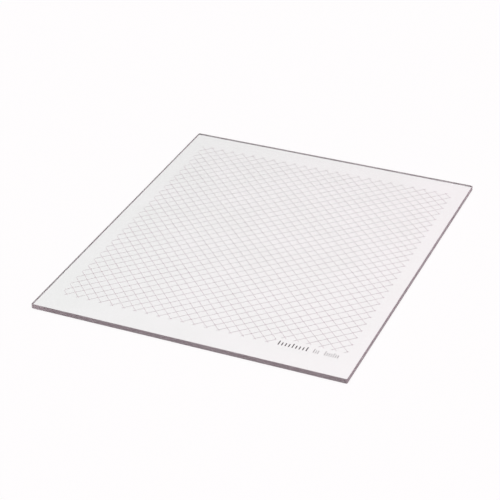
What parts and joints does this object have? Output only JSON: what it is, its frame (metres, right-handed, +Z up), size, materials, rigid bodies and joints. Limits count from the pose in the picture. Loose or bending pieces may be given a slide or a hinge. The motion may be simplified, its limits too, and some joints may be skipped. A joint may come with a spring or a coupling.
{
  "type": "net diffusion filter plate",
  "caption": "Flat clear resin photographic filter plate with rounded corners and a fine diamond net printed on its face; it slides by its side edges into a filter holder's slot.",
  "frame": {"origin": "middle of the plate's underside, the face it lies on", "axes": "+X across the slot width to the right, +Y along the length from the marked front edge to the back edge, +Z up out of the printed face"},
  "size_m": [0.084, 0.1, 0.0013],
  "materials": {
    "clear_resin": "polished faces, ground edges",
    "net_ink": "printed film",
    "tick_ink": "printed film"
  },
  "bodies": {
    "root": {"clear_plate": "clear_resin", "net_lines_rising": "net_ink", "net_lines_falling": "net_ink", "index_ticks_bold": "tick_ink", "index_ticks_fine": "tick_ink"}
  },
  "joints": []
}
